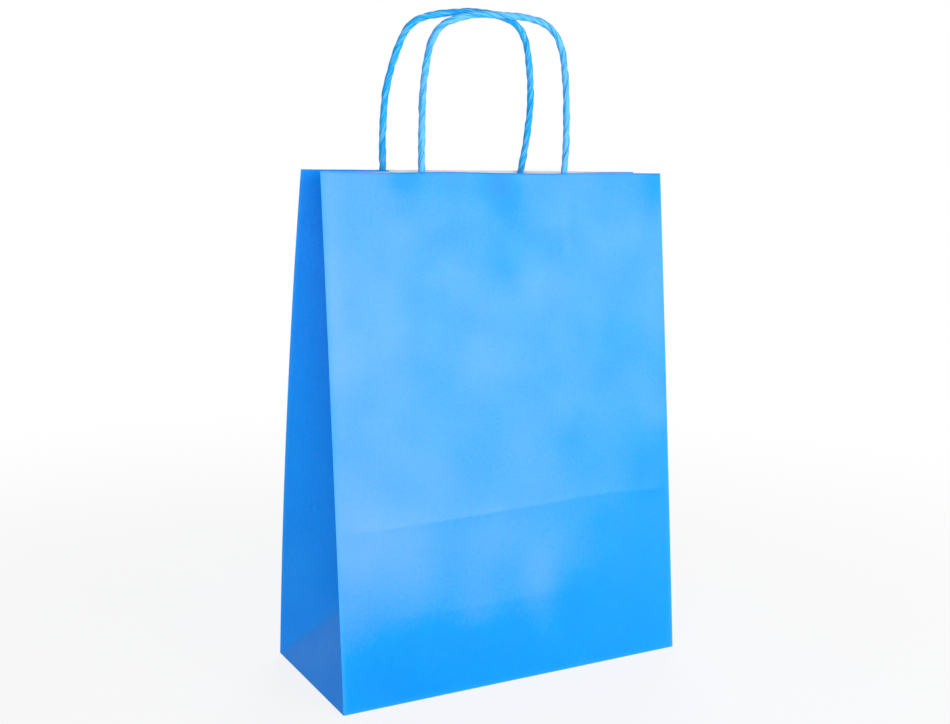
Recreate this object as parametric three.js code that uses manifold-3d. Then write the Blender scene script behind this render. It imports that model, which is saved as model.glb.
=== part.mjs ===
// A paper carrier bag with a block bottom, folded side gussets and two twisted paper handles.
// Millimetres, +Z up. The origin is the middle of the underside; the front panel faces -Y.
import * as THREE from 'three';
import { mergeVertices } from 'three/addons/utils/BufferGeometryUtils.js';
import Module from 'manifold-3d';

// The folded paper bag
const bagWidth = 220;
const gussetDepth = 96;
const paperLength = 290; // from the base's fold up to the rim, along the paper
const rimGap = 27.3; // between the outer faces of the two panels at the rim
const paper = 0.2;
const frontBow = 0.45; // how far each panel's middle stands out from a straight lean
const backBow = 5.5;
const foldWidth = 0.8; // the rounded width of a folded edge
const ringStep = 8; // height of paper between two sections of the walls

// The creases that the flat-folded base pressed into the front panel
const creaseHeight = 0.35;
const creaseHalfWidth = 1.3;

// The block bottom and the side seam
const baseLap = 24; // how far one base flap lies over the other
const seamLap = 17; // width of the glued strip that closes the tube of paper

// The handles: twisted paper cord, glued between two paper strips inside each panel
const cordDiameter = 3.8;
const twistPitch = 36;
const lobeCount = 3;
const lobeDepth = 0.24; // how far the twist's edges stand out from its hollows
const gluedLength = 47; // the stretch of each handle leg below the rim
const handleGap = 0.5; // between the two cords where they pass at the top
const cordSides = 12;
const cordStep = 3;

// The paper strips that hold the handles
const stripHeight = 56;
const stripMargin = 27; // beyond each handle leg
const stripDrop = 0.6; // from the rim down to the strip's upper edge
const rampWidth = 6.5; // over which a cover strip climbs onto a leg
const seatGap = 0.3; // between pieces that lie against each other

// Each handle's shape in its own leaning plane: across the bag, and up from the rim.
// The two were pushed to different sides when the bag was opened.
const frontHandleShape = [
  [-49.2, 0], [-48.8, 17], [-47.2, 42], [-45, 56], [-41.8, 68], [-35.5, 77.5], [-26, 82.6],
  [-12, 85.8], [4, 86.3], [20, 86], [31.8, 83.2], [39.1, 77.5], [43.3, 68.5], [44.9, 55],
  [45.4, 38], [44.8, 18], [43.2, 0],
];
const backHandleShape = [
  [-63, 0], [-64, 20], [-63.6, 40], [-61.2, 53], [-57.8, 65], [-53.6, 74.5], [-48.5, 80],
  [-41, 83.4], [-28, 86.2], [-13, 87.6], [-1, 87.3], [9, 85.5], [17, 81.8], [22, 75.5],
  [25.6, 65], [28.4, 50], [29.3, 35], [28.5, 17], [26.2, 0],
];

const sheetBlue = new THREE.Color(0x50b2fb);
const cordBlue = new THREE.Color(0x3aa8f8);
const stripWhite = new THREE.Color(0xf2f1ec);
const paperRoughness = 0.62;

const halfWidth = bagWidth / 2;
const halfDepth = gussetDepth / 2;
const lean = Math.asin((halfDepth - rimGap / 2) / paperLength);
const baseTop = 3 * paper;
const panelStart = 2 * paper;
const rimHeight = panelStart + paperLength * Math.cos(lean);
const cordRadius = cordDiameter / 2;

const wasm = await Module();
wasm.setup();

// A mesh's triangles as one solid that can be joined and cut
function solidFrom(geometry) {
  const bare = geometry.clone();
  bare.deleteAttribute('normal');
  bare.deleteAttribute('uv');
  const merged = mergeVertices(bare, 1e-4);
  return new wasm.Manifold(new wasm.Mesh({
    numProp: 3,
    vertProperties: new Float32Array(merged.attributes.position.array),
    triVerts: new Uint32Array(merged.index.array),
  }));
}

function geometryFrom(solid) {
  const mesh = solid.getMesh();
  const geometry = new THREE.BufferGeometry();
  geometry.setAttribute('position', new THREE.BufferAttribute(mesh.vertProperties, 3));
  geometry.setIndex(new THREE.BufferAttribute(mesh.triVerts, 1));
  geometry.computeVertexNormals();
  return geometry;
}

function indexedGeometry(points, triangles) {
  const geometry = new THREE.BufferGeometry();
  geometry.setAttribute('position', new THREE.Float32BufferAttribute(points.flat(), 3));
  geometry.setIndex(triangles.flat());
  geometry.computeVertexNormals();
  return geometry;
}

// A pressed crease stands out as a low ridge across the panel
function ridge(distance) {
  const share = Math.abs(distance) / creaseHalfWidth;
  return share >= 1 ? 0 : creaseHeight * (1 - share);
}

// The panels' outer faces at a height of paper above the base's fold
function frontFace(s) {
  const q = s / paperLength;
  const pressed = ridge(s - halfDepth) * 0.5 + ridge(s - gussetDepth);
  return -halfDepth + s * Math.sin(lean) - 4 * frontBow * q * (1 - q) - pressed;
}

function backFace(s) {
  const q = s / paperLength;
  return halfDepth - s * Math.sin(lean) + 4 * backBow * q * (1 - q);
}

function panelHeight(s) {
  return panelStart + s * Math.cos(lean);
}

// The gusset's lower triangle swings in about the base's side edge until its top corner
// is as far from the front edge's own fold as it was on the flat sheet.
const frontFoldIn = -frontFace(halfDepth);
const frontFoldUp = halfDepth * Math.cos(lean);
const triangleLean = Math.acos((frontFoldIn ** 2 + frontFoldUp ** 2) / (2 * halfDepth * frontFoldUp));
const apexIn = halfDepth * Math.sin(triangleLean);
const apexUp = halfDepth * Math.cos(triangleLean);

// How far a gusset's middle fold lies in from the side, at a height of paper above the base
function foldInset(s) {
  const inset = (at) => Math.sqrt(halfDepth ** 2 - ((backFace(at) - frontFace(at)) / 2) ** 2);
  const settle = Math.exp((halfDepth - s) / halfDepth);
  return inset(s) + (apexIn - inset(halfDepth)) * settle;
}

// One gusset half's points on a section: the outer edge, then the fold
function gussetFold(s) {
  if (s < halfDepth) {
    const t = s / halfDepth;
    const spread = (halfDepth - foldWidth) * (1 - t) + (foldWidth / 2) * t;
    return { inset: t * apexIn, front: -spread, back: spread, up: panelStart + t * apexUp };
  }
  const q = (s - halfDepth) / (paperLength - halfDepth);
  const settle = Math.exp((halfDepth - s) / halfDepth);
  const middle = ((backFace(s) + frontFace(s)) / 2) * (1 - settle);
  return {
    inset: foldInset(s),
    front: middle - foldWidth / 2,
    back: middle + foldWidth / 2,
    up: THREE.MathUtils.lerp(panelStart + apexUp, rimHeight, q),
  };
}

function between(a, b) {
  return a.map((value, axis) => (value + b[axis]) / 2);
}

// The bag's section at a height of paper, anticlockwise from above
function bagSection(s) {
  const fold = gussetFold(s);
  const inner = halfWidth - fold.inset;
  const edgeUp = panelHeight(s);
  const half = (x, foldX) => {
    const front = [x, frontFace(s), edgeUp];
    const back = [x, backFace(s), edgeUp];
    const foldFront = [foldX, fold.front, fold.up];
    const foldBack = [foldX, fold.back, fold.up];
    return [front, between(front, foldFront), foldFront, foldBack, between(foldBack, back), back];
  };
  return [...half(halfWidth, inner), ...half(-halfWidth, -inner).reverse()];
}

// A section's points moved one thickness of paper into the bag
function insetSection(section, thickness) {
  return section.map((point, i) => {
    const before = section[(i + section.length - 1) % section.length];
    const after = section[(i + 1) % section.length];
    const here = new THREE.Vector2(point[0], point[1]);
    const edgeIn = here.clone().sub(new THREE.Vector2(before[0], before[1])).normalize();
    const edgeOut = new THREE.Vector2(after[0], after[1]).sub(here).normalize();
    const normalIn = new THREE.Vector2(-edgeIn.y, edgeIn.x);
    const normalOut = new THREE.Vector2(-edgeOut.y, edgeOut.x);
    const miter = normalIn.clone().add(normalOut).normalize();
    const reach = thickness / miter.dot(normalIn);
    return [here.x + miter.x * reach, here.y + miter.y * reach, point[2]];
  });
}

// Heights of paper at which the walls get a section, with closer ones at each crease
function sectionHeights() {
  const creases = [halfDepth, gussetDepth];
  const heights = [0, halfDepth, paperLength];
  for (const crease of creases) {
    heights.push(crease - creaseHalfWidth, crease, crease + creaseHalfWidth);
  }
  const count = Math.ceil(paperLength / ringStep);
  for (let i = 1; i < count; i += 1) {
    const s = (paperLength * i) / count;
    if (creases.every((crease) => Math.abs(s - crease) > 2 * creaseHalfWidth)) heights.push(s);
  }
  return [...new Set(heights)].sort((a, b) => a - b);
}

// The four walls: one sheet, closed round the bag, open at the rim and at the base
function bagWalls() {
  const heights = sectionHeights();
  const outer = heights.map((s) => bagSection(s));
  const inner = outer.map((section) => insetSection(section, paper));
  const sides = outer[0].length;
  const points = [...outer.flat(), ...inner.flat()];
  const innerStart = outer.length * sides;
  const triangles = [];
  const quad = (a, b, c, d) => triangles.push([a, b, c], [a, c, d]);
  // The inner face is split along the same diagonals, so that the wall keeps its thickness
  const quadInside = (a, b, c, d) => triangles.push([a, c, b], [a, d, c]);
  for (let k = 0; k < heights.length - 1; k += 1) {
    for (let i = 0; i < sides; i += 1) {
      const j = (i + 1) % sides;
      const low = k * sides;
      const high = low + sides;
      const inside = innerStart + low;
      quad(low + i, low + j, high + j, high + i);
      quadInside(inside + i, inside + j, inside + sides + j, inside + sides + i);
    }
  }
  const top = (heights.length - 1) * sides;
  for (let i = 0; i < sides; i += 1) {
    const j = (i + 1) % sides;
    quad(top + i, top + j, innerStart + top + j, innerStart + top + i);
    quad(j, i, innerStart + i, innerStart + j);
  }
  return solidFrom(indexedGeometry(points, triangles));
}

function flatSheet(corners, low, high) {
  const shape = new THREE.Shape(corners.map(([x, y]) => new THREE.Vector2(x, y)));
  const geometry = new THREE.ExtrudeGeometry(shape, { depth: high - low, bevelEnabled: false });
  return solidFrom(geometry.translate(0, 0, low));
}

// The block bottom: the gusset ends fold in first, then the front flap, then the back flap.
// Both flaps have corners folded at 45 degrees, so a triangle of each gusset end stays in view.
function blockBottom() {
  const flapReach = halfDepth + baseLap / 2;
  const flap = (side) => [
    [-halfWidth, side * halfDepth],
    [halfWidth, side * halfDepth],
    [halfWidth - flapReach, side * (halfDepth - flapReach)],
    [flapReach - halfWidth, side * (halfDepth - flapReach)],
  ];
  const edge = paper / 2;
  const ends = [
    [edge - halfWidth, edge - halfDepth],
    [halfWidth - edge, edge - halfDepth],
    [halfWidth - edge, halfDepth - edge],
    [edge - halfWidth, halfDepth - edge],
  ];
  return flatSheet(ends, panelStart, baseTop)
    .add(flatSheet(flap(-1), paper, panelStart))
    .add(flatSheet(flap(1), 0, panelStart));
}

// The glued seam: the sheet's far edge laps over the back panel beside its right-hand fold
function sideSeam() {
  const heights = sectionHeights();
  const seamLeft = halfWidth - seamLap;
  const points = [];
  const triangles = [];
  const quad = (a, b, c, d) => triangles.push([a, b, c], [a, c, d]);
  heights.forEach((s) => {
    const z = panelHeight(s);
    const inside = backFace(s) - paper / 2;
    const outside = backFace(s) + paper;
    points.push([seamLeft, inside, z], [halfWidth, inside, z], [halfWidth, outside, z]);
    points.push([seamLeft, outside, z]);
  });
  for (let k = 0; k < heights.length - 1; k += 1) {
    for (let i = 0; i < 4; i += 1) {
      const j = (i + 1) % 4;
      quad(4 * k + i, 4 * k + j, 4 * k + 4 + j, 4 * k + 4 + i);
    }
  }
  const top = 4 * (heights.length - 1);
  quad(3, 2, 1, 0);
  quad(top, top + 1, top + 2, top + 3);
  return solidFrom(indexedGeometry(points, triangles));
}

// Each panel's inner face near the rim as a plane: a point at the rim, and its slope
function panelPlane(side) {
  const face = side < 0 ? frontFace : backFace;
  const rimY = face(paperLength);
  const lowY = face(paperLength - stripHeight);
  const slope = Math.atan2(Math.abs(lowY - rimY), stripHeight * Math.cos(lean));
  const sag = side < 0 ? frontBow : backBow;
  const hollow = sag * (stripHeight / paperLength) ** 2;
  return { side, rimY, slope, start: paper / Math.cos(slope) + hollow };
}

const backingIn = seatGap; // strip and cord places, measured in from the panel's inner face
const cordIn = backingIn + paper + seatGap + cordRadius + lobeDepth / 2;
const coverIn = backingIn + paper + seatGap;
const coverRise = cordDiameter + lobeDepth + 2 * seatGap;

// A point given across the panel, down from the rim and in from the inner face
function onPanel(plane, x, down, inward) {
  const y = Math.abs(plane.rimY) - plane.start + down * Math.sin(plane.slope)
    - inward * Math.cos(plane.slope);
  const z = rimHeight - down * Math.cos(plane.slope) - inward * Math.sin(plane.slope);
  return new THREE.Vector3(x, plane.side * y, z);
}

// The handle's centreline: up from between the strips, over the top and down again
function handlePath(plane, shape) {
  const rise = Math.max(...shape.map(([, up]) => up));
  const topY = cordRadius + lobeDepth / 2 + handleGap / 2;
  const leg = ([x]) => [1, 0.5].map((share) => onPanel(plane, x, gluedLength * share, cordIn));
  const foot = onPanel(plane, 0, 0, cordIn);
  const air = shape.map(([x, up]) => {
    const y = THREE.MathUtils.lerp(Math.abs(foot.y), topY, up / rise);
    return new THREE.Vector3(x, plane.side * y, foot.z + up);
  });
  const first = shape[0];
  const last = shape[shape.length - 1];
  return new THREE.CatmullRomCurve3([...leg(first), ...air, ...leg(last).reverse()]);
}

// Twisted paper cord: a section with low lobes that turns as it goes along the path
function twistedCord(path) {
  const length = path.getLength();
  const steps = Math.round(length / cordStep);
  const frames = path.computeFrenetFrames(steps, false);
  const points = [];
  const triangles = [];
  for (let k = 0; k <= steps; k += 1) {
    const centre = path.getPointAt(k / steps);
    const twist = (2 * Math.PI * length * k) / steps / twistPitch;
    for (let i = 0; i < cordSides; i += 1) {
      const angle = (2 * Math.PI * i) / cordSides;
      const radius = cordRadius + (lobeDepth / 2) * Math.cos(lobeCount * angle);
      const point = centre.clone();
      point.addScaledVector(frames.normals[k], radius * Math.cos(angle + twist));
      point.addScaledVector(frames.binormals[k], radius * Math.sin(angle + twist));
      points.push(point.toArray());
    }
  }
  for (let k = 0; k < steps; k += 1) {
    for (let i = 0; i < cordSides; i += 1) {
      const a = k * cordSides + i;
      const b = k * cordSides + ((i + 1) % cordSides);
      triangles.push([a, b, b + cordSides], [a, b + cordSides, a + cordSides]);
    }
  }
  points.push(path.getPointAt(0).toArray(), path.getPointAt(1).toArray());
  const startCentre = points.length - 2;
  const endRing = steps * cordSides;
  for (let i = 0; i < cordSides; i += 1) {
    const j = (i + 1) % cordSides;
    triangles.push([startCentre, j, i], [startCentre + 1, endRing + i, endRing + j]);
  }
  return indexedGeometry(points, triangles);
}

// Where a strip runs, from beyond one handle leg to beyond the other
function stripSpan(shape) {
  const left = shape[0][0];
  const right = shape[shape.length - 1][0];
  return { left, right, from: left - stripMargin, to: right + stripMargin };
}

// A strip drawn as its edge seen from above, then run down the panel
function stripAlong(plane, inwardAt, stations) {
  const points = [];
  const triangles = [];
  const quad = (a, b, c, d) => triangles.push([a, b, c], [a, c, d]);
  stations.forEach((x) => {
    for (const down of [stripDrop, stripDrop + stripHeight]) {
      points.push(onPanel(plane, x, down, inwardAt(x)).toArray());
      points.push(onPanel(plane, x, down, inwardAt(x) + paper).toArray());
    }
  });
  for (let k = 0; k < stations.length - 1; k += 1) {
    const a = 4 * k;
    quad(a, a + 4, a + 5, a + 1);
    quad(a + 2, a + 3, a + 7, a + 6);
    quad(a, a + 2, a + 6, a + 4);
    quad(a + 1, a + 5, a + 7, a + 3);
  }
  const last = 4 * (stations.length - 1);
  quad(0, 1, 3, 2);
  quad(last, last + 2, last + 3, last + 1);
  if (plane.side > 0) triangles.forEach((triangle) => triangle.reverse());
  return indexedGeometry(points, triangles);
}

function backingStrip(plane, shape) {
  const span = stripSpan(shape);
  return stripAlong(plane, () => backingIn, [span.from, span.to]);
}

// The cover strip lies on the backing and is pressed up over both legs
function coverStrip(plane, shape) {
  const span = stripSpan(shape);
  const bump = (distance) => {
    const share = Math.min(Math.abs(distance) / rampWidth, 1);
    return (coverRise * (1 + Math.cos(Math.PI * share))) / 2;
  };
  const stations = [span.from];
  const rampSteps = 14;
  for (const leg of [span.left, span.right]) {
    for (let i = 0; i <= rampSteps; i += 1) {
      stations.push(leg + rampWidth * ((2 * i) / rampSteps - 1));
    }
  }
  stations.push(span.to);
  const inwardAt = (x) => coverIn + bump(x - span.left) + bump(x - span.right);
  return stripAlong(plane, inwardAt, stations);
}

function piece(name, geometry, colour) {
  const material = new THREE.MeshStandardMaterial({
    color: colour, roughness: paperRoughness, metalness: 0,
  });
  const mesh = new THREE.Mesh(geometry, material);
  mesh.name = name;
  return mesh;
}

const bag = new THREE.Group();
bag.name = 'paper_carrier_bag';
bag.add(piece('bag_body', geometryFrom(bagWalls().add(blockBottom()).add(sideSeam())), sheetBlue));

const sides = [
  { name: 'front', plane: panelPlane(-1), shape: frontHandleShape },
  { name: 'back', plane: panelPlane(1), shape: backHandleShape },
];
for (const { name, plane, shape } of sides) {
  bag.add(piece(`${name}_handle`, twistedCord(handlePath(plane, shape)), cordBlue));
  bag.add(piece(`${name}_patch_backing`, backingStrip(plane, shape), stripWhite));
  bag.add(piece(`${name}_patch_cover`, coverStrip(plane, shape), stripWhite));
}

export default bag;
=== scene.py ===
import math

import bpy
import numpy as np
from mathutils import Matrix, Vector, noise


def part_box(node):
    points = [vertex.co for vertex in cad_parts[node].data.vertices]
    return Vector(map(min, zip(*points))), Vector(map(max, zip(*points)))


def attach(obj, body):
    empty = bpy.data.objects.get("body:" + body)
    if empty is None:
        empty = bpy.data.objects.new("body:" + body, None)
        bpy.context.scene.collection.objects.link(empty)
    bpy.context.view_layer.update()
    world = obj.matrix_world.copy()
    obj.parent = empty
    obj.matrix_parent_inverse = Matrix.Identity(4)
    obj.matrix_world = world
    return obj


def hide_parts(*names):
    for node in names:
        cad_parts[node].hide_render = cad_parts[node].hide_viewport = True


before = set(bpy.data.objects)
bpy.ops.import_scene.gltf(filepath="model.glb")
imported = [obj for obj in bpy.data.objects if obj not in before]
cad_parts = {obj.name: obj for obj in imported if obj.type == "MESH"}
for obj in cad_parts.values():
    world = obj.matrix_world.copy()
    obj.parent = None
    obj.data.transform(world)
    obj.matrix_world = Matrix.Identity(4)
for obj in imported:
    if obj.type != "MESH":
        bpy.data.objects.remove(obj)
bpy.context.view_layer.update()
bodyLow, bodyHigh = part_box("bag_body")
stage = bpy.context.scene
stage.view_settings.view_transform = "Standard"

# Where the photographer stood: left of the bag, a little above its rim
camera = {
    "place": (-0.36721, -0.64304, 0.30416),
    "turn": 0.5101,  # radians, to the right of straight on
    "down": 0.1695,
    "roll": 0.0223,
    "focalPixels": 1284.2,
    "framePixels": 950,
    "sensor": 36.0,
    "clipStart": 0.02,
}


def makeCamera(values):
    turn, down, roll = values["turn"], values["down"], values["roll"]
    level = Vector((math.sin(turn), math.cos(turn), 0))
    side = Vector((math.cos(turn), -math.sin(turn), 0))
    rise = Vector((0, 0, 1))
    ahead = level * math.cos(down) - rise * math.sin(down)
    over = rise * math.cos(down) + level * math.sin(down)
    right = side * math.cos(roll) + over * math.sin(roll)
    up = over * math.cos(roll) - side * math.sin(roll)
    lens = bpy.data.cameras.new("photoCamera")
    lens.sensor_width = values["sensor"]
    lens.lens = values["sensor"] * values["focalPixels"] / values["framePixels"]
    lens.clip_start = values["clipStart"]
    holder = bpy.data.objects.new("photoCamera", lens)
    turned = Matrix((right, up, -ahead)).transposed().to_4x4()
    holder.matrix_world = Matrix.Translation(values["place"]) @ turned
    stage.collection.objects.link(holder)
    stage.camera = holder


makeCamera(camera)
print("camera placed")

# The folded sheet. The frame gives its outer size, and the rest is as in the solids.
bag = {
    "width": bodyHigh.x - bodyLow.x,
    "depth": -2 * bodyLow.y,
    "paperLength": 0.290,
    "rimGap": 0.0273,
    "frontBow": 0.00045,
    "backBow": 0.0055,
    "paper": 0.0002,
    "foldWidth": 0.0008,
}
halfWidth = bag["width"] / 2
halfDepth = bag["depth"] / 2
paper = bag["paper"]
length = bag["paperLength"]
lean = math.asin((halfDepth - bag["rimGap"] / 2) / length)
panelStart = 2 * paper
rimHeight = panelStart + length * math.cos(lean)


def smooth(value, low, high):
    share = np.clip((np.asarray(value, float) - low) / (high - low), 0, 1)
    return share * share * (3 - 2 * share)


def cloud(x, y, z, scale):
    return noise.noise(Vector((x, y, z)) * scale)


def frontFace(s):
    q = s / length
    return -halfDepth + s * math.sin(lean) - 4 * bag["frontBow"] * q * (1 - q)


def backFace(s):
    q = s / length
    return halfDepth - s * math.sin(lean) + 4 * bag["backBow"] * q * (1 - q)


foldIn = -frontFace(halfDepth)
foldUp = halfDepth * math.cos(lean)
triangleLean = math.acos((foldIn ** 2 + foldUp ** 2) / (2 * halfDepth * foldUp))
apexIn = halfDepth * math.sin(triangleLean)
apexUp = halfDepth * math.cos(triangleLean)


def freeInset(s):
    return np.sqrt(halfDepth ** 2 - ((backFace(s) - frontFace(s)) / 2) ** 2)


# The eight corners of the bag's section at each height of paper, anticlockwise from above
def bagCorners(s):
    settle = np.exp((halfDepth - s) / halfDepth)
    t = np.clip(s / halfDepth, 0, 1)
    low = s < halfDepth
    spread = np.where(low, (halfDepth - bag["foldWidth"]) * (1 - t), 0) + bag["foldWidth"] / 2 * t
    middle = np.where(low, 0, (backFace(s) + frontFace(s)) / 2 * (1 - settle))
    inset = freeInset(s) + (apexIn - freeInset(halfDepth)) * settle
    inset = np.where(low, t * apexIn, inset)
    q = np.clip((s - halfDepth) / (length - halfDepth), 0, 1)
    foldHigh = panelStart + apexUp + (rimHeight - panelStart - apexUp) * q
    foldZ = np.where(low, panelStart + t * apexUp, foldHigh)
    edgeZ = panelStart + s * math.cos(lean)
    inner = halfWidth - inset
    wide = np.full_like(s, halfWidth)
    front, back = frontFace(s), backFace(s)
    columns = [
        (-wide, front, edgeZ), (wide, front, edgeZ),
        (inner, middle - spread, foldZ), (inner, middle + spread, foldZ),
        (wide, back, edgeZ), (-wide, back, edgeZ),
        (-inner, middle + spread, foldZ), (-inner, middle - spread, foldZ),
    ]
    return np.stack([np.stack(column, axis=1) for column in columns], axis=1)


# The section's faces and corners are counted from the front panel, anticlockwise from above
frontPanel = 0
backPanel = 4
foldCorners = (2, 3, 6, 7)

# How each face of the section is divided, and how softly each corner turns
walls = {
    "faceSteps": (84, 18, 10, 18, 60, 18, 10, 18),
    "cornerSteps": 4,
    "edgeReach": 0.00022,
    "creaseReach": 0.0010,  # the diagonal folds over the base are softer
    "creaseGrowth": 0.0045,
    "bandShare": 0.42,  # of the narrow band between two folds, that one fold's arc may take
    "faceShare": 0.4,
    "levelStep": 0.0026,
    "closeStep": 0.0008,  # between levels beside a crease
    "closeBands": ((0.0460, 0.0502), (0.0930, 0.1050), (0.2320, 0.2350)),
    "closeMargin": 0.001,
    "lowLevel": 0.0006,
    "topLevel": 0.001,  # under the rim
    "waviness": 0.00045,
    "waveScale": 11.0,
    "rippleShare": 0.45,
    "rippleScale": 3.1,
    "edgeHold": 0.016,  # the waves die out towards the folds
    "baseHold": 0.03,
    "roomShare": 0.4,  # of the room inside a fold, that the sheet's thickness takes
    "thinnest": 0.00001,
    # rings under the walls: how far in, and how high
    "lipTurns": ((0, 0.00022), (0.00012, 0.00008), (0.0004, 0.00002), (0.0014, 0.00002)),
}
# Where the folds are lighter, partly rubbed wear and partly a painted highlight along the
# folded edges: how far from them, and how much
foldWearHighlight = {
    "reach": 0.0007,
    "panels": 1.0,
    "gussets": 0.25,
    "lip": 0.7,
    "base": 0.8,
    "baseReach": 0.0008,
}
crease = {
    "line": (
        (-0.110, 0.0966), (-0.026, 0.0980), (0.030, 0.0996), (0.062, 0.1004), (0.110, 0.0990),
    ),
    "height": 0.00054,
    "unevenness": (0.85, 0.5, 26),  # mean, range and scale
    "atBack": 0.7,
    "bandAbove": 0.0075,
    "bandBelow": 0.0055,
    "lowLine": ((-0.110, 0.0490), (-0.060, 0.0466), (0.110, 0.0480)),
    "lowHeight": (0.0017, 0.0003),  # left and right: the panel stands straighter below this line
    "lowTurn": (0.010, 0.066),
    "lowFade": 0.042,
    "sideFade": 0.012,
    "lowSideFade": 0.040,
}
# Shallow hollows and swells of the front and the back panel, as rows for hills()
frontDents = (
    (0.002, 0.256, 0.015, 0.022, 0.00090),
    (-0.030, 0.272, 0.012, 0.012, 0.00030),
    (0.092, 0.268, 0.016, 0.018, 0.00060),
    (0.085, 0.105, 0.035, 0.045, -0.00080),
    (-0.045, 0.150, 0.050, 0.045, 0.00060),
    (-0.010, 0.200, 0.040, 0.034, 0.00040),
    (0.030, 0.045, 0.022, 0.035, 0.00050),
)
backDents = (
    (-0.060, 0.240, 0.030, 0.024, 0.00060),
    (0.030, 0.262, 0.026, 0.016, 0.00045),
    (-0.020, 0.165, 0.045, 0.040, -0.00060),
    (0.055, 0.190, 0.028, 0.050, 0.00050),
    (-0.070, 0.060, 0.034, 0.028, 0.00060),
    (0.020, 0.060, 0.040, 0.026, -0.00045),
)
strip = {
    "height": 0.056,
    "margin": 0.027,
    "drop": 0.0006,
    "seat": 0.0003,
    "ramp": 0.0065,
    "glued": 0.047,
    "press": 0.00010,  # how far the strip shows through the panel
    "pressSoft": (0.0008, 0.0010),
    "legPress": 0.00022,
    "legReach": 0.0028,
    "legFade": (0.003, 0.004),
    "steps": (70, 27, 34),  # across, over each cord, and down
    "rampMargin": 0.0005,
    "pucker": 0.00018,
    "puckerScale": 90,
}

# The twisted cord, and each handle's shape in its own leaning plane: across the bag, and up from
# the rim
cord = {
    "diameter": 0.0038,
    "pitch": 0.036,
    "lobeDepth": 0.00024,  # added to the diameter where room is left for the cord
    "handleGap": 0.0005,
    "step": 0.0006,
    "fineSteps": 24,
    "sides": 56,
    "ovalDepth": 0.00012,  # the section is a little flattened
    "ovalTurn": 0.9,
    "facets": 5,
    "facetDepth": 0.00019,
    "facetMean": 0.6,
    "seamDepth": 0.00024,  # how far the wound strip's edge stands out
    "seamWidth": 0.30,  # radians
    "foldTurn": 2.5,  # a second, weaker line, radians from the seam
    "foldLine": 0.55,
    "wander": 1.6,
    "wanderScale": 31.0,
    "frontTurn": 0.4,  # radians, where the twist starts
    "backTurn": 2.1,
    "frontShape": (
        (-0.0492, 0), (-0.0488, 0.017), (-0.0472, 0.042), (-0.0450, 0.056), (-0.0418, 0.068),
        (-0.0355, 0.0775), (-0.0260, 0.0826), (-0.0120, 0.0858), (0.0040, 0.0863), (0.0200, 0.0860),
        (0.0318, 0.0832), (0.0391, 0.0775), (0.0433, 0.0685), (0.0449, 0.055), (0.0454, 0.038),
        (0.0448, 0.018), (0.0432, 0),
    ),
    "backShape": (
        (-0.0630, 0), (-0.0640, 0.020), (-0.0636, 0.040), (-0.0612, 0.053), (-0.0578, 0.065),
        (-0.0536, 0.0745), (-0.0485, 0.080), (-0.0410, 0.0834), (-0.0280, 0.0862),
        (-0.0130, 0.0876), (-0.0010, 0.0873), (0.0090, 0.0855), (0.0170, 0.0818),
        (0.0220, 0.0755), (0.0256, 0.065), (0.0284, 0.050), (0.0293, 0.035), (0.0285, 0.017),
        (0.0262, 0),
    ),
}


def alongLine(points, x):
    return np.interp(x, [p[0] for p in points], [p[1] for p in points])


# The flat-folded base left two lines on each panel. The upper one is a low ridge, turned up to
# the light above and away from it below. Under the lower one the panel stands straighter.
def creaseRelief(x, s):
    above = s - alongLine(crease["line"], x)
    band = crease["bandAbove"] if above > 0 else crease["bandBelow"]
    mean, spread, scale = crease["unevenness"]
    ridge = (mean + spread * cloud(x, 0.3, 0, scale)) * math.exp(-abs(above) / band)
    toSide = halfWidth - abs(x)
    ridge *= float(smooth(toSide, 0, crease["sideFade"]))
    lower = alongLine(crease["lowLine"], x)
    bend = s / lower if s < lower else math.exp((lower - s) / crease["lowFade"])
    left, right = crease["lowHeight"]
    height = left + (right - left) * float(smooth(x, *crease["lowTurn"]))
    lowRidge = height * bend * float(smooth(toSide, 0, crease["lowSideFade"]))
    return crease["height"] * ridge + lowRidge


# The sum of round soft hills: place across, place up, reach across, reach up, and height
def hills(x, s, rows, total=0.0):
    for acrossAt, upAt, acrossReach, upReach, height in rows:
        across, up = (x - acrossAt) / acrossReach, (s - upAt) / upReach
        total += height * math.exp(-across ** 2 - up ** 2)
    return total


# The strips and the cord ends that are glued inside push the panel out a little
def stripRelief(x, s, shape):
    left, right = shape[0][0], shape[-1][0]
    lowEdge = length - strip["drop"] - strip["height"]
    outer, inner = strip["pressSoft"]
    inside = smooth(s, lowEdge - outer, lowEdge + inner)
    inside *= smooth(x, left - strip["margin"] - outer, left - strip["margin"] + inner)
    inside *= 1 - smooth(x, right + strip["margin"] - inner, right + strip["margin"] + outer)
    legs = 0.0
    for leg in (left, right):
        legs += math.exp(-((x - leg) / strip["legReach"]) ** 2)
    below, above = strip["legFade"]
    legs *= float(smooth(s, length - strip["glued"] - below, length - strip["glued"] + above))
    return strip["press"] * float(inside) + strip["legPress"] * legs


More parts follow.
